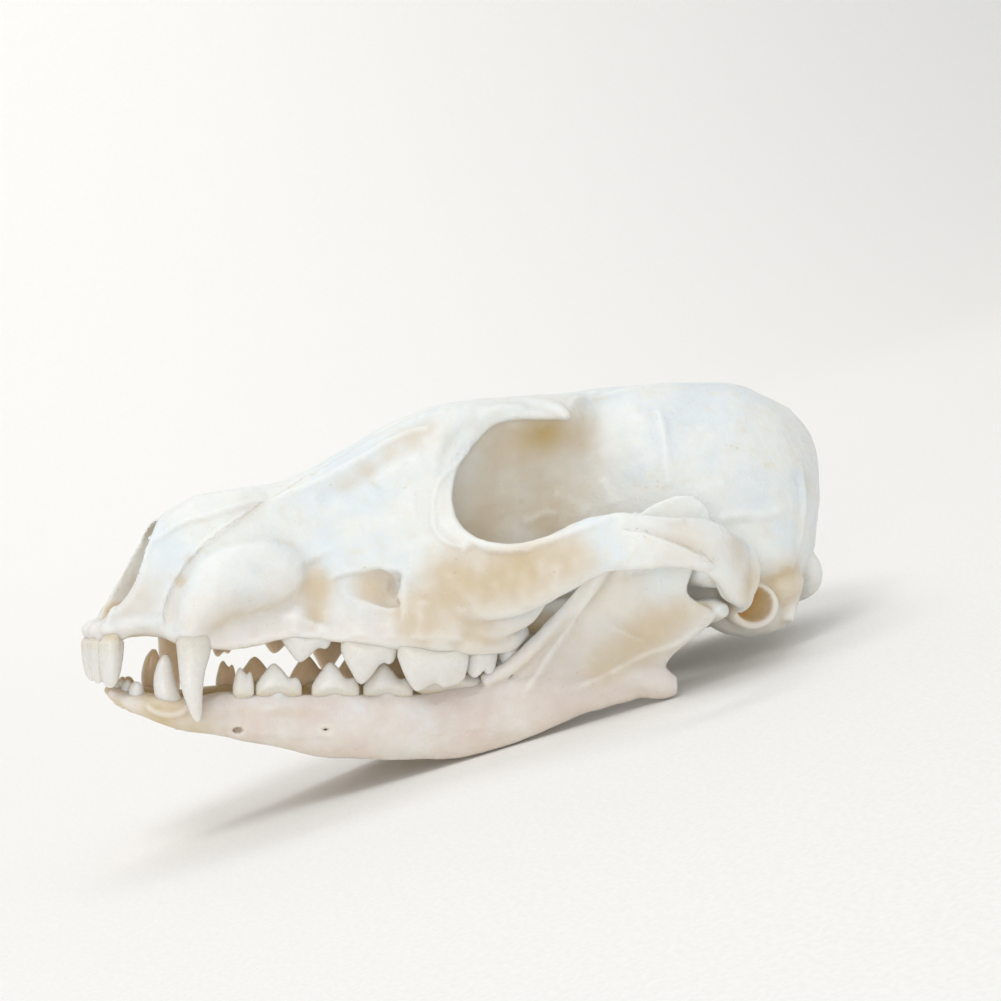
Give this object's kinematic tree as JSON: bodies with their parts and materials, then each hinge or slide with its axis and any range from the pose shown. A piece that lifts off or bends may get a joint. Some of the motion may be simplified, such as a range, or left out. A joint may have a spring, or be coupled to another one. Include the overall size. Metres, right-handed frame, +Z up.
{
  "type": "fox skull",
  "caption": "Pale cleaned fox skull with its lower jaw closed: long nose, open eye sockets, wide cheek arches, round braincase, full rows of pointed teeth.",
  "frame": {"origin": "centre of the bounding box on the surface that the skull rests on", "axes": "nose to -X, back of the head to +X, the animal's left side to -Y, +Z up; the skull rests on the lower edges of its jaw, nose raised"},
  "size_m": [0.1498, 0.0781, 0.0628],
  "materials": {
    "bone": "dry bleached bone, matte to faintly satin",
    "enamel": "white tooth enamel, smooth and glossy"
  },
  "bodies": {
    "root": {"cranium": "bone", "left_lower_jaw": "bone", "right_lower_jaw": "bone", "lower_left_canine": "enamel", "lower_left_incisor_1": "enamel", "lower_left_incisor_2": "enamel", "lower_left_incisor_3": "enamel", "lower_left_molar_1": "enamel", "lower_left_molar_2": "enamel", "lower_left_molar_3": "enamel", "lower_left_premolar_1": "enamel", "lower_left_premolar_2": "enamel", "lower_left_premolar_3": "enamel", "lower_left_premolar_4": "enamel", "lower_right_canine": "enamel", "lower_right_incisor_1": "enamel", "lower_right_incisor_2": "enamel", "lower_right_incisor_3": "enamel", "lower_right_molar_1": "enamel", "lower_right_molar_2": "enamel", "lower_right_molar_3": "enamel", "lower_right_premolar_1": "enamel", "lower_right_premolar_2": "enamel", "lower_right_premolar_3": "enamel", "lower_right_premolar_4": "enamel", "upper_left_canine": "enamel", "upper_left_incisor_1": "enamel", "upper_left_incisor_2": "enamel", "upper_left_incisor_3": "enamel", "upper_left_molar_1": "enamel", "upper_left_molar_2": "enamel", "upper_left_premolar_2": "enamel", "upper_left_premolar_3": "enamel", "upper_left_premolar_4": "enamel", "upper_right_canine": "enamel", "upper_right_incisor_1": "enamel", "upper_right_incisor_2": "enamel", "upper_right_incisor_3": "enamel", "upper_right_molar_1": "enamel", "upper_right_molar_2": "enamel", "upper_right_premolar_1": "enamel", "upper_right_premolar_2": "enamel", "upper_right_premolar_3": "enamel", "upper_right_premolar_4": "enamel"}
  },
  "joints": []
}
